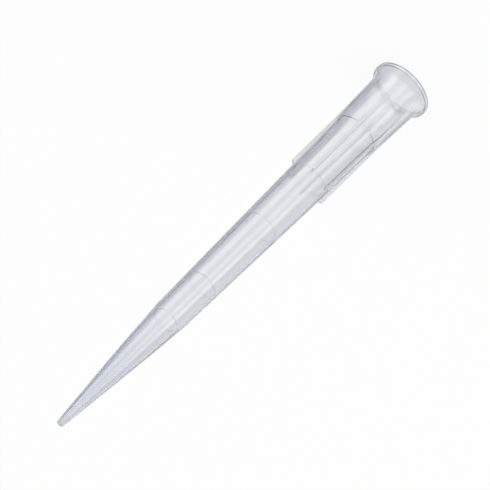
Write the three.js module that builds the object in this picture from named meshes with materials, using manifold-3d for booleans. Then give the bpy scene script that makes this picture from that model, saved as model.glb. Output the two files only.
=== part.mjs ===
// Pipette tip for about one millilitre: one thin-walled polypropylene moulding, millimetres, +Z up.
// The tip stands upside down on the flat rim of its mouth: the mouth's face is z = 0 and the nose points up.
// The origin is the centre of the mouth. One of the lengthwise fins points along -Y.
import * as THREE from "three";
import { mergeVertices } from "three/addons/utils/BufferGeometryUtils.js";
import Module from "manifold-3d";

// Driving dimensions, in millimetres. Heights are measured up from the mouth's face.
const totalLength = 78;

// Lip and flare around the mouth. The lip stands out a little past the foot of the flare.
const lipRadius = 4.58;
const lipHeight = 0.6;
const lipEdgeRadius = 0.1;
const lipLedge = 0.14;
const flareHeight = 1.85;

// Collar: the full-round band above the flare, with a soft shoulder where the slimmer body starts.
// The collar's height is that of the shoulder's middle, where the radii of both tapers are given.
const collarHeight = 10.9;
const collarFlareRadius = 3.84;
const collarShoulderRadius = 3.6;
const shoulderLength = 2.4;

// Body: the long barrel, which tapers from the collar's shoulder to the nose
const bodyShoulderRadius = 3.34;
const bodyNoseRadius = 2.48;

// Nose: the slim cone at the end, slightly bulged
const noseLength = 24.9;
const noseEndRadius = 0.5;
const noseBulge = 0.085;

// Fins along the body and the collar, which run into the flare
const finCount = 6;
const finRadius = 3.78;
const finThickness = 0.32;
const finTopHeight = 22.3;

// Walls around the bore, and the orifice at the nose's end
const rimWall = 0.42;
const collarWall = 0.45;
const bodyWall = 0.42;
const orificeRadius = 0.26;

// Bore: the mouth's edge, the lead-in that widens beside the flare, and the socket for the pipette's nozzle
const mouthEdgeHeight = 0.22;
const leadInHeight = 2.65;
const socketDepth = 10.5;

// Volume marks: fine rings raised on the bore, at these distances from the nose's end
const markDistances = [23.7, 31.9, 45.3, 56.4];
const markWidth = 0.16;
const markRise = 0.05;

// Smoothness of the round forms, and how far a cutting solid passes the faces it cuts
const roundSegments = 48;
const noseSteps = 6;
const flareSteps = 6;
const lipEdgeSteps = 3;
const cutOverrun = 1;
const weldDistance = 1e-5;

const noseStartHeight = totalLength - noseLength;
const mouthRadius = lipRadius - rimWall;
const socketMouthRadius = collarFlareRadius - collarWall;
const socketFloorRadius = collarShoulderRadius - collarWall;

const wasm = await Module();
wasm.setup();

// A closed three.js geometry as a manifold solid.
function toSolid(geometry) {
  const bare = geometry.clone();
  bare.deleteAttribute("normal");
  bare.deleteAttribute("uv");
  const merged = mergeVertices(bare, weldDistance);
  const vertProperties = Float32Array.from(merged.getAttribute("position").array);
  const triVerts = Uint32Array.from(merged.getIndex().array);
  return new wasm.Manifold(new wasm.Mesh({ numProp: 3, vertProperties, triVerts }));
}

// A manifold solid as a three.js geometry.
function toGeometry(solid) {
  const mesh = solid.getMesh();
  const geometry = new THREE.BufferGeometry();
  geometry.setAttribute("position", new THREE.BufferAttribute(mesh.vertProperties, mesh.numProp));
  geometry.setIndex(new THREE.BufferAttribute(mesh.triVerts, 1));
  geometry.computeVertexNormals();
  return geometry;
}

// A solid turned about +Z from an outline of [radius, height] points.
function turned(outline) {
  const points = outline.map(([radius, height]) => new THREE.Vector2(radius, height));
  return toSolid(new THREE.LatheGeometry(points, roundSegments).rotateX(Math.PI / 2));
}

// Radius of the barrel at a height, from its radius at the shoulder, where the nose starts, and at the end.
// The body is a straight taper, and the nose is a taper that bulges most at half its length.
function barrelRadius(height, shoulderRadius, noseRadius, endRadius) {
  if (height < noseStartHeight) {
    const share = (height - collarHeight) / (noseStartHeight - collarHeight);
    return THREE.MathUtils.lerp(shoulderRadius, noseRadius, share);
  }
  const share = (height - noseStartHeight) / noseLength;
  return THREE.MathUtils.lerp(noseRadius, endRadius, share) + 4 * noseBulge * share * (1 - share);
}

function outsideRadius(height) {
  return barrelRadius(height, bodyShoulderRadius, bodyNoseRadius, noseEndRadius);
}

function boreRadius(height) {
  return barrelRadius(height, bodyShoulderRadius - bodyWall, bodyNoseRadius - bodyWall, orificeRadius);
}

// The nose's outline for one of those two surfaces, from where the nose starts to its end.
function noseOutline(radiusAt) {
  return Array.from({ length: noseSteps + 1 }, (_, i) => {
    const height = noseStartHeight + (i / noseSteps) * noseLength;
    return [radiusAt(height), height];
  });
}

// The lip's outline: a quarter circle from the mouth's face to the lip's side, and up to its top edge.
function lipOutline() {
  const edge = Array.from({ length: lipEdgeSteps + 1 }, (_, i) => {
    const angle = (i / lipEdgeSteps) * (Math.PI / 2);
    return [lipRadius - lipEdgeRadius * (1 - Math.sin(angle)), lipEdgeRadius * (1 - Math.cos(angle))];
  });
  return [...edge, [lipRadius, lipHeight]];
}

// A bent stretch of an outline, from a point at the mouth to one further up, drawn towards a third.
function bend(from, towards, to) {
  const curve = new THREE.QuadraticBezierCurve(
    new THREE.Vector2(...from),
    new THREE.Vector2(...towards),
    new THREE.Vector2(...to),
  );
  return curve.getPoints(flareSteps).map(({ x, y }) => [x, y]);
}

// The flare's outline: it leaves the lip steeply and bends into the collar's side.
function flareOutline() {
  return bend(
    [lipRadius - lipLedge, lipHeight],
    [collarFlareRadius, lipHeight + flareHeight / 2],
    [collarFlareRadius, lipHeight + flareHeight],
  );
}

// The lead-in's outline: it runs beside the flare, so that the wall stays thin, and bends into the socket.
function leadInOutline() {
  return bend(
    [mouthRadius, mouthEdgeHeight],
    [socketMouthRadius, (mouthEdgeHeight + leadInHeight) / 2],
    [socketMouthRadius, leadInHeight],
  );
}

// The lower end of a soft shoulder: a point on the straight taper between two [radius, height] points.
function shoulderFoot(shoulderHeight, [lowRadius, lowHeight], [highRadius, highHeight]) {
  const height = shoulderHeight - shoulderLength / 2;
  const share = (height - lowHeight) / (highHeight - lowHeight);
  return [THREE.MathUtils.lerp(lowRadius, highRadius, share), height];
}

// The upper end of a soft shoulder at a height: a point on the barrel's surface or its bore.
function shoulderTop(shoulderHeight, radiusAt) {
  const height = shoulderHeight + shoulderLength / 2;
  return [radiusAt(height), height];
}

// The outside of the tip as a full solid, without its fins.
function outsideSolid() {
  const flare = flareOutline();
  return turned([
    [0, 0],
    ...lipOutline(),
    ...flare,
    shoulderFoot(collarHeight, flare.at(-1), [collarShoulderRadius, collarHeight]),
    shoulderTop(collarHeight, outsideRadius),
    ...noseOutline(outsideRadius),
    [0, totalLength],
  ]);
}

// The inside of the tip as a cutting solid that passes both ends.
function boreSolid() {
  const leadIn = leadInOutline();
  return turned([
    [0, -cutOverrun],
    [mouthRadius, -cutOverrun],
    ...leadIn,
    shoulderFoot(socketDepth, leadIn.at(-1), [socketFloorRadius, socketDepth]),
    shoulderTop(socketDepth, boreRadius),
    ...noseOutline(boreRadius),
    [orificeRadius, totalLength + cutOverrun],
    [0, totalLength + cutOverrun],
  ]);
}

// One fin: a plate from the axis out to the fins' radius, from inside the flare up to its square end.
function finSolid(index) {
  const finHeight = finTopHeight - lipHeight;
  const plate = new THREE.BoxGeometry(finRadius, finThickness, finHeight);
  plate.translate(finRadius / 2, 0, lipHeight + finHeight / 2);
  plate.rotateZ(-Math.PI / 2 + (index / finCount) * 2 * Math.PI);
  return toSolid(plate);
}

// One volume mark: a ring from the middle of the wall to just inside the bore.
function markSolid(distance) {
  const height = totalLength - distance;
  const innerRadius = boreRadius(height) - markRise;
  const outerRadius = boreRadius(height) + bodyWall / 2;
  return turned([
    [innerRadius, height - markWidth / 2],
    [outerRadius, height - markWidth / 2],
    [outerRadius, height + markWidth / 2],
    [innerRadius, height + markWidth / 2],
    [innerRadius, height - markWidth / 2],
  ]);
}

// The whole moulding: the outside and its fins, hollowed by the bore, with the marks left on the bore.
function tipGeometry() {
  let solid = outsideSolid();
  for (let i = 0; i < finCount; i += 1) {
    solid = solid.add(finSolid(i));
  }
  solid = solid.subtract(boreSolid());
  for (const distance of markDistances) {
    solid = solid.add(markSolid(distance));
  }
  return toGeometry(solid);
}

const clearPolypropylene = new THREE.MeshStandardMaterial({
  color: 0xdde3ea,
  roughness: 0.22,
  metalness: 0,
  transparent: true,
  opacity: 0.5,
});

const tip = new THREE.Mesh(tipGeometry(), clearPolypropylene);
tip.name = "tip";

const pipetteTip = new THREE.Group();
pipetteTip.name = "pipette_tip";
pipetteTip.add(tip);

export default pipetteTip;
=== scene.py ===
# %% [markdown]
# # A pipette tip in clear polypropylene
# A pipette tip is one thin moulding: a slim nose with a fine hole, a long barrel with fine marks for the
# volume, six lengthwise fins, a collar, and a mouth that flares out to a flat rim. It stands upside down on
# that rim here, because a round thing that lies down rolls away.
#
# Clear plastic shows every flat of a coarse mesh twice, once on the outside and once on the bore. So the tip
# is made again as one fine surface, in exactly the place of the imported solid, and then gets its plastic.

import math

import bpy
import numpy as np
from mathutils import Matrix, Vector


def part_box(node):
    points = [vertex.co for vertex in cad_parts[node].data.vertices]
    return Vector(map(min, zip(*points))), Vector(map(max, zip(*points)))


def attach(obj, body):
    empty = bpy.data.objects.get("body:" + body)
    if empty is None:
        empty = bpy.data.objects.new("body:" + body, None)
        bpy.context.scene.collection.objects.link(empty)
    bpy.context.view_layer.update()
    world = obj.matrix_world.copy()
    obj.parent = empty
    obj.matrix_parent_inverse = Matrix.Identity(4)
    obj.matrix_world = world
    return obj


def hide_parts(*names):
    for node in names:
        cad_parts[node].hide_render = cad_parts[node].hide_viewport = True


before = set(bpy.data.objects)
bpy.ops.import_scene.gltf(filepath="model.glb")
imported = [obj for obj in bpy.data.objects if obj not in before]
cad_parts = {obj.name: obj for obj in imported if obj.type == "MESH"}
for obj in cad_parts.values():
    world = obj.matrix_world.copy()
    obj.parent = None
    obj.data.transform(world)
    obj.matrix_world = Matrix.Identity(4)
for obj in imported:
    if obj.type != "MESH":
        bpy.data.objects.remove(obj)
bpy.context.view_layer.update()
low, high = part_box("tip")
MM = 0.001
TOTAL_LENGTH = high.z - low.z
LIP_RADIUS = (high.x - low.x) / 2
print(f"tip: {TOTAL_LENGTH / MM:.1f} mm long, {2 * LIP_RADIUS / MM:.2f} mm across its rim")

# %% [markdown]
# ## The barrel and the nose
# The barrel is a long straight taper, and the nose is a steeper one that bulges a little half way. The wall
# keeps one thickness along the barrel, because plastic that cools at one rate doesn't warp, and gets thinner
# up the nose. So the bore has two tapers of its own, with the same bulge.
#
# Each taper could be a cone of its own, but then every seam between two cones needs care. Here a function
# gives the radius at any height instead, so that rows of points can go wherever the form needs them. Heights
# are measured up from the rim, and every length is in metres.

# %% The tapers of the barrel and the nose
COLLAR_HEIGHT = 10.9 * MM
BODY_SHOULDER_RADIUS = 3.34 * MM
BODY_NOSE_RADIUS = 2.48 * MM
BODY_WALL = 0.42 * MM
NOSE_LENGTH = 24.9 * MM
NOSE_END_RADIUS = 0.5 * MM
NOSE_BULGE = 0.085 * MM
ORIFICE_RADIUS = 0.26 * MM
NOSE_START_HEIGHT = TOTAL_LENGTH - NOSE_LENGTH


def barrel_radius(height, shoulder_radius, nose_radius, end_radius):
    """A straight taper up to the nose, then a taper plus a parabola that is highest half way up the nose."""
    body_share = (height - COLLAR_HEIGHT) / (NOSE_START_HEIGHT - COLLAR_HEIGHT)
    nose_share = (height - NOSE_START_HEIGHT) / NOSE_LENGTH
    body = shoulder_radius + body_share * (nose_radius - shoulder_radius)
    bulge = 4 * NOSE_BULGE * nose_share * (1 - nose_share)
    nose = nose_radius + nose_share * (end_radius - nose_radius) + bulge
    return np.where(height < NOSE_START_HEIGHT, body, nose)


def barrel_outside(height):
    """The two tapers of the outside."""
    return barrel_radius(height, BODY_SHOULDER_RADIUS, BODY_NOSE_RADIUS, NOSE_END_RADIUS)


def barrel_bore(height):
    """The two tapers of the bore: one wall further in along the barrel, then down to the orifice."""
    shoulder_radius = BODY_SHOULDER_RADIUS - BODY_WALL
    return barrel_radius(height, shoulder_radius, BODY_NOSE_RADIUS - BODY_WALL, ORIFICE_RADIUS)


middle_width = 2 * float(barrel_outside(TOTAL_LENGTH / 2))
print(f"barrel: {middle_width / MM:.2f} mm wide half way up, orifice: {2 * ORIFICE_RADIUS / MM:.2f} mm")

# %% [markdown]
# ## The collar and its shoulder
# The collar is the wider band above the mouth. Inside it is the socket that grips the pipette's nozzle. A
# soft shoulder joins it to the barrel, and the socket's floor is the same shoulder on the bore.
#
# The shoulder could be a short cone between two rings of points, but a sharp bend inside clear plastic traps
# the light and shows as a black ring. So the wide taper and the slim one are blended over a good length, by
# a step that starts and ends level.

# %% The shoulder, and the radius at any height
LIP_HEIGHT = 0.6 * MM
FLARE_HEIGHT = 1.85 * MM
COLLAR_FLARE_RADIUS = 3.84 * MM
COLLAR_SHOULDER_RADIUS = 3.6 * MM
COLLAR_WALL = 0.45 * MM
SHOULDER_LENGTH = 2.4 * MM
LEAD_IN_HEIGHT = 2.65 * MM
SOCKET_DEPTH = 10.5 * MM
FLARE_TOP = [COLLAR_FLARE_RADIUS, LIP_HEIGHT + FLARE_HEIGHT]
SOCKET_MOUTH = [COLLAR_FLARE_RADIUS - COLLAR_WALL, LEAD_IN_HEIGHT]
SOCKET_FLOOR = [COLLAR_SHOULDER_RADIUS - COLLAR_WALL, SOCKET_DEPTH]


def smooth_step(value):
    """Runs from 0 to 1 as three times the square less twice the cube, and leaves both ends level."""
    value = np.clip(value, 0, 1)
    return value * value * (3 - 2 * value)


def through(height, low_point, high_point):
    """Radius of the straight taper through two [radius, height] points."""
    share = (height - low_point[1]) / (high_point[1] - low_point[1])
    return low_point[0] + share * (high_point[0] - low_point[0])


def shoulder_blend(height, wide_radius, slim_radius, shoulder_height):
    """The wide taper below the shoulder, the slim one above it, and a smooth step from one to the other."""
    share = smooth_step((height - shoulder_height) / SHOULDER_LENGTH + 0.5)
    return wide_radius + share * (slim_radius - wide_radius)


def outside_radius(height):
    """The collar's taper, blended into the barrel's."""
    collar = through(height, FLARE_TOP, [COLLAR_SHOULDER_RADIUS, COLLAR_HEIGHT])
    return shoulder_blend(height, collar, barrel_outside(height), COLLAR_HEIGHT)


def bore_radius(height):
    """The socket's taper, blended into the channel's."""
    socket = through(height, SOCKET_MOUTH, SOCKET_FLOOR)
    return shoulder_blend(height, socket, barrel_bore(height), SOCKET_DEPTH)


socket_widths = [2 * point[0] / MM for point in (SOCKET_MOUTH, SOCKET_FLOOR)]
print(f"socket: {socket_widths[0]:.2f} mm wide at its mouth and {socket_widths[1]:.2f} mm at its floor")

# %% [markdown]
# ## The lip and the flare
# The mouth ends in a lip like a bead, a little wider than what is above it, and the flare bends from there
# into the collar like the bell of a trumpet. The pipette's ejector pushes on the lip's flat face.
#
# Both are short stretches of outline, rows of [radius, height] points: a quarter circle, rounded corners, and
# a bend with one control point. Edges get a small round, because a moulding has no knife edges, and because
# a round edge is what catches the light.

# %% The lip and the flare
LIP_EDGE_RADIUS = 0.1 * MM
LIP_TOP_EDGE = 0.1 * MM
LIP_LEDGE = 0.14 * MM
LEDGE = [LIP_RADIUS - LIP_LEDGE, LIP_HEIGHT]


def bend(start, control, end, count):
    """A quadratic curve that leaves the start towards the control point and arrives at the end from it."""
    start, control, end = (np.array(point, float) for point in (start, control, end))
    share = np.linspace(0, 1, count)[:, None]
    return (1 - share) ** 2 * start + 2 * share * (1 - share) * control + share**2 * end


def corner(before, at, after, edge, count=5):
    """A rounded corner: a bend that leaves one side and meets the next one at one edge from the corner."""
    before, at, after = (np.array(point, float) for point in (before, at, after))
    start = at + edge * (before - at) / np.linalg.norm(before - at)
    end = at + edge * (after - at) / np.linalg.norm(after - at)
    return bend(start, at, end, count)


def lip_outline():
    """A quarter circle from the mouth's face to the lip's side, then a rounded corner to the ledge on top."""
    angle = np.linspace(0, np.pi / 2, 8)
    radius = LIP_RADIUS - LIP_EDGE_RADIUS * (1 - np.sin(angle))
    round_edge = np.column_stack([radius, LIP_EDGE_RADIUS * (1 - np.cos(angle))])
    top = corner(round_edge[-1], [LIP_RADIUS, LIP_HEIGHT], LEDGE, LIP_TOP_EDGE, 6)
    return np.vstack([round_edge, top])


def flare_outline():
    """A bend that leaves the lip steeply and ends along the collar's side."""
    return bend(LEDGE, [COLLAR_FLARE_RADIUS, LIP_HEIGHT + FLARE_HEIGHT / 2], FLARE_TOP, 20)


print(f"lip: {len(lip_outline())} rows, flare: {len(flare_outline())} rows")

# %% [markdown]
# ## The outside
# The outside is walked from the mouth up to the end of the nose: the mouth's flat face, the lip, the flare,
# the collar, the shoulder, the barrel and the nose.
#
# Rows at even distances would be simple, but a fine step needs many rows and a straight cone needs none. So
# rows stand close together at each turn of the form: the shoulder, the end of the fins, the foot of the nose,
# and the gate's scar. The long stretches between get few rows. No two rows fall on one another, because that
# would leave faces without any area, which can show as a false ring.

# %% The outside's outline
FIN_TOP_HEIGHT = 22.3 * MM
FIN_END_LENGTH = 0.3 * MM
GATE_HEIGHT = 4.9 * MM
GATE_REACH = 0.4 * MM
RIM_WALL = 0.42 * MM
MOUTH_RADIUS = LIP_RADIUS - RIM_WALL
MOUTH_EDGE = 0.06 * MM
NOSE_OUTER_EDGE = 0.11 * MM
# How far below the nose's end the round edges there read the slope of the side
DOWN_THE_SIDE = 1 * MM
HALF_SHOULDER = SHOULDER_LENGTH / 2
# How far each stretch of rows stays away from the turn beside it
NEAR = 0.1 * MM
CLEAR = 0.3 * MM
WELL_CLEAR = 0.5 * MM
BELOW_FINS_END = 1.1 * MM
BELOW_NOSE_END = 0.2 * MM
FINS_END_REACH = 0.6 * FIN_END_LENGTH


def row_heights(stretches, turns):
    """Sorted heights. A stretch is (from, to, count), and a turn is (middle, reach to each side, count)."""
    rows = [np.linspace(start, end, count) for start, end, count in stretches]
    rows += [middle + reach * np.linspace(-1, 1, count) for middle, reach, count in turns]
    return np.sort(np.concatenate(rows))


def outside_outline():
    """The mouth's face, the lip, the flare, the rows up to the nose, and the round edge at its end."""
    stretches = [
        (FLARE_TOP[1] + WELL_CLEAR, COLLAR_HEIGHT - HALF_SHOULDER - CLEAR, 9),
        (COLLAR_HEIGHT + HALF_SHOULDER + WELL_CLEAR, FIN_TOP_HEIGHT - BELOW_FINS_END, 7),
        (FIN_TOP_HEIGHT + CLEAR, NOSE_START_HEIGHT - CLEAR, 11),
        (NOSE_START_HEIGHT + WELL_CLEAR, TOTAL_LENGTH - BELOW_NOSE_END, 22),
    ]
    turns = [
        (GATE_HEIGHT, GATE_REACH, 9),
        (COLLAR_HEIGHT, HALF_SHOULDER, 17),
        (FIN_TOP_HEIGHT - FIN_END_LENGTH / 2, FINS_END_REACH, 13),
        (NOSE_START_HEIGHT, NEAR, 3),
    ]
    heights = row_heights(stretches, turns)
    face_radii = np.linspace(MOUTH_RADIUS + MOUTH_EDGE, LIP_RADIUS - LIP_EDGE_RADIUS, 5)[1:-1]
    down_the_side = TOTAL_LENGTH - DOWN_THE_SIDE
    nose_side = [outside_radius(down_the_side), down_the_side]
    return np.vstack(
        [
            np.column_stack([face_radii, np.zeros_like(face_radii)]),
            lip_outline(),
            flare_outline(),
            np.column_stack([outside_radius(heights), heights]),
            corner(nose_side, [NOSE_END_RADIUS, TOTAL_LENGTH], [0, TOTAL_LENGTH], NOSE_OUTER_EDGE),
        ]
    )


outside = outside_outline()
print(f"outside: {len(outside)} rows")

# %% [markdown]
# ## The volume marks
# The marks are fine rings at fixed distances from the nose's end. They stand up from the bore, so they can't
# be wiped off. One more fine ring stands where the socket's floor begins.
#
# A square ring would be the simplest, but sharp edges in clear plastic trap the light and show dark. Here a
# ring is a soft rise of the bore itself, with the section of one arch of a squared cosine.

# %% How far the rings rise
MARK_DISTANCES = [23.7 * MM, 31.9 * MM, 45.3 * MM, 56.4 * MM]
MARK_WIDTH = 0.16 * MM
MARK_RISE = 0.05 * MM
SHOULDER_RING = (67.3 * MM, 0.45 * MM, 0.06 * MM)
RINGS = [(distance, MARK_WIDTH, MARK_RISE) for distance in MARK_DISTANCES] + [SHOULDER_RING]


def ring_rise(height):
    """Each ring's peak times one arch of a squared cosine over its width, and 0 between the rings."""
    rise = np.zeros_like(height)
    for distance, width, peak in RINGS:
        offset = np.clip((height - (TOTAL_LENGTH - distance)) / width, -0.5, 0.5)
        rise = np.maximum(rise, peak * np.cos(np.pi * offset) ** 2)
    return rise


for distance in MARK_DISTANCES:
    bore_width = 2 * float(bore_radius(TOTAL_LENGTH - distance)) / MM
    print(f"mark: {distance / MM:.1f} mm from the nose's end, where the bore is {bore_width:.2f} mm wide")

# %% [markdown]
# ## The bore
# The bore is walked back down from the nose to the mouth. It is the channel behind the nose and the barrel,
# then the socket, and then a lead-in that opens beside the flare, so that the wall stays thin there too.
#
# It could be an inner shell of its own, or come from a Solidify modifier. But its form isn't an even offset
# of the outside, and one closed outline leaves no seam at the mouth or at the orifice.

# %% The bore's outline
MOUTH_EDGE_HEIGHT = 0.22 * MM
NOSE_INNER_EDGE = 0.09 * MM
ABOVE_LEAD_IN = 0.4 * MM
# Rows around a ring reach to each side of its middle by this share of its width, a little past its foot
RING_REACH = 0.6


def lead_in_outline():
    """A bend that leaves the socket along its side and opens out to the mouth's edge."""
    control = [SOCKET_MOUTH[0], (MOUTH_EDGE_HEIGHT + LEAD_IN_HEIGHT) / 2]
    return bend(SOCKET_MOUTH, control, [MOUTH_RADIUS, MOUTH_EDGE_HEIGHT], 20)


def bore_outline():
    """The edge at the nose's end, the rows down to the socket, the lead-in, and the mouth's edge."""
    stretches = [
        (LEAD_IN_HEIGHT + ABOVE_LEAD_IN, SOCKET_DEPTH - HALF_SHOULDER - CLEAR, 7),
        (SOCKET_DEPTH + HALF_SHOULDER + CLEAR, NOSE_START_HEIGHT - NEAR, 14),
        (NOSE_START_HEIGHT + NEAR, TOTAL_LENGTH - BELOW_NOSE_END, 16),
    ]
    turns = [(SOCKET_DEPTH, HALF_SHOULDER, 17)]
    turns += [(TOTAL_LENGTH - distance, RING_REACH * width, 9) for distance, width, _rise in RINGS]
    heights = row_heights(stretches, turns)[::-1]
    orifice = [ORIFICE_RADIUS, TOTAL_LENGTH]
    down_the_side = TOTAL_LENGTH - DOWN_THE_SIDE
    channel_side = [bore_radius(down_the_side), down_the_side]
    return np.vstack(
        [
            corner([NOSE_END_RADIUS, TOTAL_LENGTH], orifice, channel_side, NOSE_INNER_EDGE, 4),
            np.column_stack([bore_radius(heights) - ring_rise(heights), heights]),
            lead_in_outline(),
            corner([MOUTH_RADIUS, MOUTH_EDGE_HEIGHT], [MOUTH_RADIUS, 0], [LIP_RADIUS, 0], MOUTH_EDGE),
        ]
    )


bore = bore_outline()
print(f"bore: {len(bore)} rows")

# %% [markdown]
# ## The fins
# Six thin fins run from the flare up along the collar and the lower barrel, and stop at a square end. They
# stiffen the wall around the socket, where the pipette is pushed in.
#
# Six plates could be joined on with a Boolean, but in clear plastic every leftover of the joint shows. Here a
# fin is a rise of the outside surface: nothing between the fins, and the full height across a fin, with a
# short steep flank on each side that leans a little, so that it leaves the mould. The tip stays one closed
# grid, with rows along the outline and columns around it, which stand close together on the flanks only.

# %% The fins' columns and their rise
FIN_COUNT = 6
FIN_RADIUS = 3.78 * MM
FIN_THICKNESS = 0.32 * MM
FIN_DRAFT = 0.03
EDGE_GAP = 0.006 * MM
FIN_TOP_ANGLE = math.asin((0.5 - FIN_DRAFT) * FIN_THICKNESS / FIN_RADIUS)
FIN_ROOT_ANGLE = math.asin((0.5 + FIN_DRAFT) * FIN_THICKNESS / BODY_SHOULDER_RADIUS)
BESIDE_EDGE = math.asin(EDGE_GAP / FIN_RADIUS)


def column_angles():
    """Angles of the columns: each fin's sector has the same spacing, close on the flanks and mirrored."""
    half_sector = math.pi / FIN_COUNT
    top = np.linspace(0, FIN_TOP_ANGLE - BESIDE_EDGE, 4)
    flank = np.linspace(FIN_TOP_ANGLE, FIN_ROOT_ANGLE, 11)
    between = np.linspace(FIN_ROOT_ANGLE + BESIDE_EDGE, half_sector, 17)
    half = np.concatenate([top, flank, between])
    sector = np.concatenate([-half[1:][::-1], half[:-1]])
    centres = -math.pi / 2 + np.arange(FIN_COUNT) * 2 * half_sector
    return (centres[:, None] + sector[None, :]).ravel(), np.tile(sector, FIN_COUNT)


def along_fin(height):
    """1 from the top of the flare to the end of the fins, with a short even step at that end."""
    return smooth_step((FIN_TOP_HEIGHT - height) / FIN_END_LENGTH) * (height > FLARE_TOP[1])


def fin_rise(radius, height, from_fin):
    """How far a fin lifts the outside: up to the fins' radius, times an even step across each flank."""
    across = smooth_step((FIN_ROOT_ANGLE - np.abs(from_fin)) / (FIN_ROOT_ANGLE - FIN_TOP_ANGLE))
    full = np.maximum(FIN_RADIUS - radius, 0) * along_fin(height)
    return full[:, None] * across[None, :]


angles, from_fin = column_angles()
print(f"columns: {len(angles)}, {FIN_COUNT} fins of {(FIN_TOP_HEIGHT - FLARE_TOP[1]) / MM:.2f} mm")

# %% [markdown]
# ## The gate's scar
# A small bump on the collar, a little above the flare, is the scar of the gate, through which the plastic ran
# into the mould. It could be a flattened ball that is stuck on, but in clear plastic that would show as a
# second body. So it is one more rise of the surface, a bell curve of the distance from its middle.

# %% The bump on the collar
GATE_ANGLE = math.radians(-122)
GATE_RADIUS = 0.22 * MM
GATE_RISE = 0.1 * MM


def gate_rise(radius, height, angles):
    """The bump's height times e to the minus square of the distance from its middle, in bump radii."""
    around = (angles - GATE_ANGLE + np.pi) % (2 * np.pi) - np.pi
    distance = np.hypot((height - GATE_HEIGHT)[:, None], radius[:, None] * around[None, :])
    return GATE_RISE * np.exp(-((distance / GATE_RADIUS) ** 2))


highest = gate_rise(outside[:, 0], outside[:, 1], angles).max()
print(f"gate's scar: {highest / MM:.3f} mm high")

# %% [markdown]
# ## Less polished places
# The fins and the nose's end are duller and milkier than the rest, as narrow slots in a mould are hard to
# polish. This also lets light out of corners that would turn black in perfectly clear plastic.
#
# A second material would change at a hard line. Instead each point of the surface carries a number, its
# frost, that the plastic reads: 0 where it is polished, 1 on the fins, and 2 on their ends and on the nose's.

# %% Frost over the surface
FROST_MARGIN = 0.15 * MM
FROST_ANGLE = FIN_ROOT_ANGLE + math.asin(FROST_MARGIN / BODY_SHOULDER_RADIUS)
NOSE_FROST_LENGTH = 0.8 * MM
FULL_FROST = 2


def fin_frost(height, from_fin):
    """1 on the fins and 2 on their square ends, with an even step down to 0 beside their roots."""
    across = smooth_step((FROST_ANGLE - np.abs(from_fin)) / (FROST_ANGLE - FIN_ROOT_ANGLE))
    end = smooth_step((height - FIN_TOP_HEIGHT) / FIN_END_LENGTH + 2)
    level = 1 + (FULL_FROST - 1) * end
    return (along_fin(height - FIN_END_LENGTH) * level)[:, None] * across[None, :]


def nose_frost(height):
    """2 at the end of the nose, with an even step down to 0 below it."""
    return FULL_FROST * smooth_step((height - TOTAL_LENGTH) / NOSE_FROST_LENGTH + 1)


most_on_fins = fin_frost(outside[:, 1], from_fin).max()
print(f"frost: up to {most_on_fins:.2f} on the fins and {nose_frost(TOTAL_LENGTH):.2f} at the nose's end")

# %% [markdown]
# ## The surface
# All of this comes together as one grid. Each point of the closed outline is turned to every column's angle,
# and the rises are added to its radius first. A Screw modifier could turn the outline too, but not with fins.
# The grid is closed both ways, like a torus, so the mesh has no seam and no pole.

# %% The mesh of the tip


def add_mesh(name, points, faces):
    """A smooth mesh object from whole arrays of points and four-sided faces."""
    mesh = bpy.data.meshes.new(name)
    mesh.from_pydata(points.reshape(-1, 3).tolist(), [], faces.tolist())
    mesh.polygons.foreach_set("use_smooth", np.ones(len(mesh.polygons), bool))
    mesh.update()
    thing = bpy.data.objects.new(name, mesh)
    bpy.context.scene.collection.objects.link(thing)
    return thing


def tip_surface():
    """Each outline point [radius, height] is turned to every angle: x = r cos a, y = r sin a, z = h."""
    outline = np.vstack([outside, bore])
    radii = np.repeat(outline[:, :1], len(angles), axis=1)
    radii[: len(outside)] += fin_rise(outside[:, 0], outside[:, 1], from_fin)
    radii[: len(outside)] += gate_rise(outside[:, 0], outside[:, 1], angles)
    heights = np.broadcast_to(outline[:, 1:], radii.shape)
    points = np.stack([radii * np.cos(angles), radii * np.sin(angles), heights], axis=-1)
    rows, columns = radii.shape
    here = np.arange(rows * columns).reshape(rows, columns)
    beside = np.roll(here, -1, axis=1)
    above = np.roll(here, -1, axis=0)
    across = np.roll(above, -1, axis=1)
    faces = np.stack([here, beside, across, above], axis=-1).reshape(-1, 4)
    print(f"tip surface: {rows} rows of {columns} points, {2 * len(faces)} triangles")
    surface = add_mesh("clear_tip", points, faces)
    frost = np.repeat(nose_frost(outline[:, 1:]), columns, axis=1)
    frost[: len(outside)] += fin_frost(outside[:, 1], from_fin)
    surface.data.attributes.new("frost", "FLOAT", "POINT").data.foreach_set("value", frost.ravel())
    return surface


tip = tip_surface()
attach(tip, "root")
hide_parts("tip")

# %% [markdown]
# ## Node helpers
# A material is a net of small nodes. Written out in full it takes a line for each node, setting and link, so
# a few helpers keep it readable. Each adds one node and gives back the socket that carries its result. A
# value goes in either as a number or as such a socket.

# %% Helpers for node trees


def add_node(tree, kind, **settings):
    """A new node of a kind, with its settings."""
    node = tree.nodes.new(kind)
    for name, value in settings.items():
        setattr(node, name, value)
    return node


def feed(tree, socket, value):
    """Puts a value into a socket: another socket is linked to it, and anything else becomes its default."""
    if isinstance(value, bpy.types.NodeSocket):
        tree.links.new(value, socket)
    else:
        socket.default_value = value


def math_node(tree, operation, *values):
    """One Math node. MULTIPLY_ADD is the first value times the second, plus the third."""
    node = add_node(tree, "ShaderNodeMath", operation=operation)
    for socket, value in zip(node.inputs, values):
        feed(tree, socket, value)
    return node.outputs[0]


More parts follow.
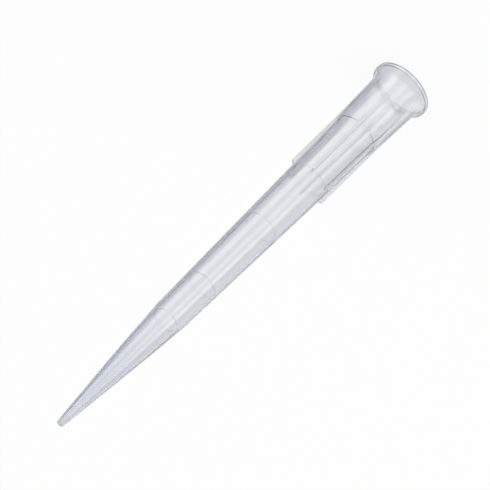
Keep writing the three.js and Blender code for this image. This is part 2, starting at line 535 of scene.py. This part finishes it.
def range_node(tree, value, from_range, to_range):
    """Spreads one range of a value evenly over another, and holds it at the ends."""
    spread = add_node(tree, "ShaderNodeMapRange")
    feed(tree, spread.inputs["Value"], value)
    for name, limit in zip(("From Min", "From Max", "To Min", "To Max"), (*from_range, *to_range)):
        spread.inputs[name].default_value = limit
    return spread.outputs["Result"]


def mix_node(tree, factor, first, second):
    """The first colour where the factor is 0, the second where it is 1, and evenly mixed between."""
    mix = add_node(tree, "ShaderNodeMix", data_type="RGBA")
    for name, value in (("Factor", factor), ("A", first), ("B", second)):
        feed(tree, mix.inputs[name], value)
    return mix.outputs["Result"]


sample_tree = bpy.data.node_groups.new("sample", "ShaderNodeTree")
math_node(sample_tree, "MULTIPLY_ADD", 2, 3, 4)
print(f"one helper call makes {len(sample_tree.nodes)} node")
bpy.data.node_groups.remove(sample_tree)

# %% [markdown]
# ## Clouds, grain and flow lines
# The skin of a moulding isn't even. The steel is polished lengthwise and the melt runs from the mouth to the
# nose, so both leave faint lengthwise lines. A finer grain makes the gloss uneven, and wide soft clouds make
# the haze a little denser in some places than in others.
#
# An image could carry all three, but it would need the tip unrolled. Three noises on the object's own
# coordinates need nothing of the kind. A Mapping node draws each of them out along the tip.

# %% Noises on the object
CLOUDS = {"grains_per_metre": 400, "stretch": 4, "detail": 2}
GRAIN = {"grains_per_metre": 6000, "stretch": 3, "detail": 2}
FLOW_LINES = {"grains_per_metre": 2500, "stretch": 80, "detail": 1}
NOISE_MIDDLE = (0.3, 0.7)


def noise_node(tree, grains_per_metre, stretch, detail):
    """Noise on the object's coordinates, mostly in the middle of 0 to 1, and made longer along the tip."""
    place = add_node(tree, "ShaderNodeTexCoord").outputs["Object"]
    drawn_out = add_node(tree, "ShaderNodeMapping")
    drawn_out.inputs["Scale"].default_value = (1, 1, 1 / stretch)
    tree.links.new(place, drawn_out.inputs["Vector"])
    noise = add_node(tree, "ShaderNodeTexNoise")
    noise.inputs["Scale"].default_value = grains_per_metre
    noise.inputs["Detail"].default_value = detail
    tree.links.new(drawn_out.outputs["Vector"], noise.inputs["Vector"])
    return noise.outputs["Fac"]


for name, noise in (("clouds", CLOUDS), ("grain", GRAIN), ("flow lines", FLOW_LINES)):
    width = 1 / noise["grains_per_metre"]
    print(f"{name}: {width / MM:.2f} mm wide, {width * noise['stretch'] / MM:.1f} mm long")

# %% [markdown]
# ## Clear polypropylene
# Moulded polypropylene isn't as clear as glass. Light goes through it, bends, and scatters a little on the
# way, so it has a milky haze, a soft sheen, and a blue-grey cast where one looks a long way along the wall.
# The nose has a weaker sheen and a darker blue-grey colour, which is painted shade; both change up its length.
#
# A scattering volume would be closer to the real thing, but it needs many more samples to come out smooth.
# One Principled shader does nearly the same: almost all the light is transmitted through a slightly rough
# surface, a glossy coat gives the sheen on the skin, and a weak absorption inside the wall gives the cast.

# %% The plastic
CLEAREST = (0.99, 0.992, 0.995, 1)
MILKIEST = (0.972, 0.975, 0.982, 1)
# Painted shade: the darker blue-grey colour that the nose turns to
NOSE_PAINTED_SHADE_TINT = (0.905, 0.925, 0.945, 1)
NOSE_CHANGE_SHARE = 0.6
CLEARNESS = 0.98
NOSE_CLEARNESS = 1
FROST_MILKINESS = 0.22
ROUGHNESS_RANGE = (0.1, 0.15)
FROST_ROUGHNESS = 0.1
PLASTIC_IOR = 1.45
COAT = 1
NOSE_COAT = 0.5
COAT_ROUGHNESS = 0.1
COAT_IOR = 1.7
FLOW_LINE_HEIGHT = 0.03 * MM
WALL_TINT = (0.80, 0.84, 0.90, 1)
WALL_DENSITY = 80


def up_the_nose(tree, at_foot, at_end):
    """One level up to the nose's foot, then evenly to another over a share of its length."""
    parts = add_node(tree, "ShaderNodeSeparateXYZ")
    feed(tree, parts.inputs[0], add_node(tree, "ShaderNodeTexCoord").outputs["Object"])
    heights = (NOSE_START_HEIGHT, NOSE_START_HEIGHT + NOSE_CHANGE_SHARE * NOSE_LENGTH)
    return range_node(tree, parts.outputs["Z"], heights, (at_foot, at_end))


def flow_lines(tree):
    """The flow lines' noise as a height, which a Bump node turns into tilted normals."""
    lines = add_node(tree, "ShaderNodeBump")
    lines.inputs["Distance"].default_value = FLOW_LINE_HEIGHT
    feed(tree, lines.inputs["Height"], noise_node(tree, **FLOW_LINES))
    return lines.outputs["Normal"]


def clear_polypropylene():
    """The colour turns to the nose's painted shade, and clearness and coat change, evenly up the nose. Frost
    takes from clearness, adds to roughness.
    """
    material = bpy.data.materials.new("clear_polypropylene")
    material.use_nodes = True
    tree = material.node_tree
    frost = add_node(tree, "ShaderNodeAttribute", attribute_name="frost").outputs["Fac"]
    cloudy = range_node(tree, noise_node(tree, **CLOUDS), NOISE_MIDDLE, (0, 1))
    # Milky haze with clouds, turning up the nose into the darker colour of painted shade
    haze_and_nose_shade = mix_node(tree, up_the_nose(tree, 0, 1), mix_node(tree, cloudy, CLEAREST, MILKIEST), NOSE_PAINTED_SHADE_TINT)
    polished = up_the_nose(tree, CLEARNESS, NOSE_CLEARNESS)
    gloss = range_node(tree, noise_node(tree, **GRAIN), NOISE_MIDDLE, ROUGHNESS_RANGE)
    looks = {
        "Base Color": haze_and_nose_shade,
        "Transmission Weight": math_node(tree, "MULTIPLY_ADD", frost, -FROST_MILKINESS, polished),
        "Roughness": math_node(tree, "MULTIPLY_ADD", frost, FROST_ROUGHNESS, gloss),
        "IOR": PLASTIC_IOR,
        "Coat Weight": up_the_nose(tree, COAT, NOSE_COAT),
        "Coat Roughness": COAT_ROUGHNESS,
        "Coat IOR": COAT_IOR,
        "Normal": flow_lines(tree),
    }
    for name, value in looks.items():
        feed(tree, tree.nodes["Principled BSDF"].inputs[name], value)
    absorption = add_node(tree, "ShaderNodeVolumeAbsorption")
    absorption.inputs["Color"].default_value = WALL_TINT
    absorption.inputs["Density"].default_value = WALL_DENSITY
    tree.links.new(absorption.outputs["Volume"], tree.nodes["Material Output"].inputs["Volume"])
    return material


plastic = clear_polypropylene()
tip.data.materials.append(plastic)
print(f"plastic: {len(plastic.node_tree.nodes)} nodes")

# %% [markdown]
# ## The panels around the tip
# Clear plastic has next to no colour of its own. It shows what is around it, so in a plain white room it
# nearly disappears. In reflections and through the plastic one therefore sees a row of panels around the tip:
# a dim cool wall at the camera's left, a bright card beside it, narrower cards in front that draw the streaks
# along the barrel, and pale walls at the right and behind. They are brightest a little below the horizon.
#
# Real cards would show in the picture and throw light on the floor. So the panels are only a pattern of the
# world's background: a colour ramp around the tip times a colour ramp over the height.
#
# Their levels weren't all set by eye. Each panel was rendered alone, a small fit by least squares mixed those
# renders into the look that was wanted, and its levels were rounded, merged and partly changed.

# %% The panels' brightness in any direction
VIEW_AZIMUTH = math.radians(-10.7)
FRONT = Vector((math.sin(VIEW_AZIMUTH), -math.cos(VIEW_AZIMUTH), 0))
SIDE = Vector((-math.cos(VIEW_AZIMUTH), -math.sin(VIEW_AZIMUTH), 0))
# Each stop is (degrees from the front towards the camera's right, level of light)
BEHIND_LEFT = [(-172, 0.72), (-142, 0.57)]
DIM_LEFT_WALL = [(-112, 0.33), (-97, 0.33), (-84, 0.44)]
BRIGHT_LEFT_CARD = [(-72, 0.95), (-60, 1.7), (-48, 1.7), (-37, 1.22)]
FRONT_CARD = [(-27, 0.75), (3, 1.35), (23, 0.82)]
RIGHT_CARD = [(33, 1.2), (43, 1.3), (54, 0.45), (67, 0.55)]
RIGHT_WALL = [(82, 0.95), (112, 0.95)]
BEHIND_RIGHT = [(142, 0.65), (157, 0.65), (172, 0.76)]
LEFT_PANELS = BEHIND_LEFT + DIM_LEFT_WALL + BRIGHT_LEFT_CARD
PANELS = LEFT_PANELS + FRONT_CARD + RIGHT_CARD + RIGHT_WALL + BEHIND_RIGHT
# Each stop is (degrees above the horizon, share of the level)
PANEL_HEIGHTS = [(-90, 0.7), (-58, 0.7), (-46, 1), (-6, 1), (8, 0.45), (90, 0.35)]
BRIGHTEST = 2
DIM_BELOW = 0.8
GREEN_WHEN_DIM = 0.14
BLUE_ALWAYS = 1.02
BLUE_WHEN_DIM = 0.68


def panel_color(level):
    """A grey of the level as a share of the brightest, slightly blue, and the bluer the dimmer it is."""
    share = level / BRIGHTEST
    dimness = max(0, DIM_BELOW - level)
    return (share, share * (1 + GREEN_WHEN_DIM * dimness), share * (BLUE_ALWAYS + BLUE_WHEN_DIM * dimness), 1)


def dot_node(tree, vector, constant):
    """How far a direction points along a constant one."""
    node = add_node(tree, "ShaderNodeVectorMath", operation="DOT_PRODUCT")
    tree.links.new(vector, node.inputs[0])
    node.inputs[1].default_value = constant
    return node.outputs["Value"]


def ramp_node(tree, value, stops):
    """A colour ramp through rows of (position, colour)."""
    ramp = add_node(tree, "ShaderNodeValToRGB")
    tree.links.new(value, ramp.inputs["Fac"])
    elements = ramp.color_ramp.elements
    while len(elements) < len(stops):
        elements.new(0.5)
    # A stop that passes another one swaps places with it, so the first round only sorts them.
    for _round in range(2):
        for element, (position, color) in zip(elements, stops):
            element.position = position
            element.color = color
    return ramp.outputs["Color"]


def panels_node(tree):
    """A ramp over the angle around, as a share of a turn, times one over half the sine of the elevation."""
    direction = add_node(tree, "ShaderNodeTexCoord").outputs["Generated"]
    angle = math_node(tree, "ARCTAN2", dot_node(tree, direction, SIDE), dot_node(tree, direction, FRONT))
    turn = math_node(tree, "MULTIPLY_ADD", angle, 1 / (2 * math.pi), 0.5)
    around = [(degrees / 360 + 0.5, panel_color(level)) for degrees, level in PANELS]
    rise = math_node(tree, "MULTIPLY_ADD", dot_node(tree, direction, Vector((0, 0, 1))), 0.5, 0.5)
    upward = [
        (math.sin(math.radians(degrees)) / 2 + 0.5, (share, share, share, 1))
        for degrees, share in PANEL_HEIGHTS
    ]
    both = add_node(tree, "ShaderNodeVectorMath", operation="MULTIPLY")
    tree.links.new(ramp_node(tree, turn, around), both.inputs[0])
    tree.links.new(ramp_node(tree, rise, upward), both.inputs[1])
    return both.outputs["Vector"]


levels = [level for _degrees, level in PANELS]
print(f"panels: {len(PANELS)} stops around, with levels from {min(levels)} to {max(levels)}")

# %% [markdown]
# ## The world
# The world has three faces. The camera sees plain white behind the tip. Rays that were mirrored or went
# through the plastic see the panels. All other light is plain and even, so that a colour comes out about as
# it is written. Light Path tells the three kinds of rays apart, which lamps and backdrops alone can't do.

# %% White to the camera, panels to the plastic, plain light for the rest
WORLD_LIGHT = 0.9
WHITE = (1, 1, 1, 1)


def background(tree, color, strength):
    """A Background shader of one colour, or of a socket's."""
    shader = add_node(tree, "ShaderNodeBackground")
    feed(tree, shader.inputs["Color"], color)
    shader.inputs["Strength"].default_value = strength
    return shader.outputs[0]


def mix_shaders(tree, factor, first, second):
    """The first shader where the factor is 0 and the second where it is 1."""
    mix = add_node(tree, "ShaderNodeMixShader")
    for socket, value in zip(mix.inputs, (factor, first, second)):
        feed(tree, socket, value)
    return mix.outputs[0]


def studio_world():
    """Plain light for most rays, panels for glossy and transmission rays, and white for the camera."""
    world = bpy.data.worlds.new("studio")
    bpy.context.scene.world = world
    world.use_nodes = True
    tree = world.node_tree
    path = add_node(tree, "ShaderNodeLightPath").outputs
    shown = math_node(tree, "MAXIMUM", path["Is Glossy Ray"], path["Is Transmission Ray"])
    panels = background(tree, panels_node(tree), BRIGHTEST)
    mirrored = mix_shaders(tree, shown, background(tree, WHITE, WORLD_LIGHT), panels)
    seen = mix_shaders(tree, path["Is Camera Ray"], mirrored, background(tree, WHITE, 1))
    tree.links.new(seen, tree.nodes["World Output"].inputs["Surface"])
    print(f"world: {len(tree.nodes)} nodes, light level {WORLD_LIGHT}")


studio_world()

# %% [markdown]
# ## The floor
# The tip stands on a sheet of white paper. Plain paper would come out grey beside the white background, and
# paper that only glows would have no shadow. So to the camera it is nine parts glow and one part paper: white
# but for a faint soft shadow. The plastic doesn't see it, because the panels already say what is below.

# %% The paper
FLOOR_HALF_SIZE = 5
PAPER = (0.85, 0.85, 0.85, 1)
PAPER_ROUGHNESS = 0.9
GLOW_SHARE = 0.9


def studio_floor():
    """A flat square at the height of the mouth's face, white to the camera but for the tip's soft shadow."""
    corners = np.array([[-1, -1, 0], [1, -1, 0], [1, 1, 0], [-1, 1, 0]], float) * FLOOR_HALF_SIZE
    floor = add_mesh("studio_floor", corners, np.array([[0, 1, 2, 3]]))
    material = bpy.data.materials.new("white_floor")
    material.use_nodes = True
    tree = material.node_tree
    paper = tree.nodes["Principled BSDF"]
    paper.inputs["Base Color"].default_value = PAPER
    paper.inputs["Roughness"].default_value = PAPER_ROUGHNESS
    path = add_node(tree, "ShaderNodeLightPath")
    glow = add_node(tree, "ShaderNodeEmission")
    share = math_node(tree, "MULTIPLY", path.outputs["Is Camera Ray"], GLOW_SHARE)
    shown = mix_shaders(tree, share, paper.outputs[0], glow.outputs[0])
    tree.links.new(shown, tree.nodes["Material Output"].inputs["Surface"])
    floor.data.materials.append(material)
    floor.visible_glossy = False
    floor.visible_transmission = False
    print(f"floor: {2 * FLOOR_HALF_SIZE} m wide")


studio_floor()

# %% [markdown]
# ## The key lamp
# One large soft lamp gives the even light a direction, so the shadow falls to one side. It stands above the
# tip and in front of it, on the side of -X. A sun would be simpler, but its shadow has a hard edge.
# Reflections don't show the lamp: they have the panels.

# %% The soft lamp
KEY_PLACE = Vector((-0.9, -0.5, 0.8))
KEY_SIZE = 1.2
KEY_POWER = 5


def soft_lamp(name, place, target, size, power):
    """A square area lamp that looks at the target."""
    light = bpy.data.lights.new(name, "AREA")
    light.shape = "RECTANGLE"
    light.size = size
    light.size_y = size
    light.energy = power
    lamp = bpy.data.objects.new(name, light)
    lamp.location = place
    lamp.rotation_euler = (Vector(target) - Vector(place)).to_track_quat("-Z", "Y").to_euler()
    lamp.visible_glossy = False
    lamp.visible_transmission = False
    bpy.context.scene.collection.objects.link(lamp)


middle = Vector((0, 0, TOTAL_LENGTH / 2))
soft_lamp("key", middle + KEY_PLACE, middle, KEY_SIZE, KEY_POWER)
print(f"key lamp: {KEY_POWER} W, {KEY_PLACE.length:.2f} m away")

# %% [markdown]
# ## The camera
# The tip is seen lying across the view with its mouth turned away, through a long lens. It could be laid down
# for that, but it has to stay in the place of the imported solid. So it is the camera that leans: it looks down
# at the tip from a third of the way up, and is rolled until the nose points to the lower left.

# %% The camera
VIEW_ELEVATION = math.radians(32.2)
AXIS_TILT = math.radians(44.42)
VIEW_WIDTH = 67.59 * MM
AIM_TO_MOUTH = 2.13 * MM
AIM_TO_SIDE = 0.25 * MM
LENS = 1000
SENSOR = 36
CLIP_DISTANCES = 10

back = Vector(
    (
        math.sin(VIEW_AZIMUTH) * math.cos(VIEW_ELEVATION),
        -math.cos(VIEW_AZIMUTH) * math.cos(VIEW_ELEVATION),
        math.sin(VIEW_ELEVATION),
    )
)
to_mouth = (Vector((0, 0, -1)) + back.z * back).normalized()
to_side = to_mouth.cross(back)
right = math.cos(AXIS_TILT) * to_mouth + math.sin(AXIS_TILT) * to_side
up = back.cross(right)
aim = middle + AIM_TO_MOUTH * to_mouth + AIM_TO_SIDE * to_side

camera_data = bpy.data.cameras.new("camera")
camera_data.type = "PERSP"
camera_data.lens = LENS
camera_data.sensor_width = SENSOR
camera = bpy.data.objects.new("camera", camera_data)
view_distance = VIEW_WIDTH * LENS / SENSOR
camera_data.clip_end = CLIP_DISTANCES * view_distance
turn = Matrix((right, up, back)).transposed().to_4x4()
camera.matrix_world = Matrix.Translation(aim + view_distance * back) @ turn
bpy.context.scene.collection.objects.link(camera)
bpy.context.scene.camera = camera
print(f"camera: {view_distance:.2f} m away, sees {VIEW_WIDTH / MM:.1f} mm across")

# %% [markdown]
# ## Finish
# The colours are shown as they are.

# %% Colour view and the end
bpy.context.scene.view_settings.view_transform = "Standard"
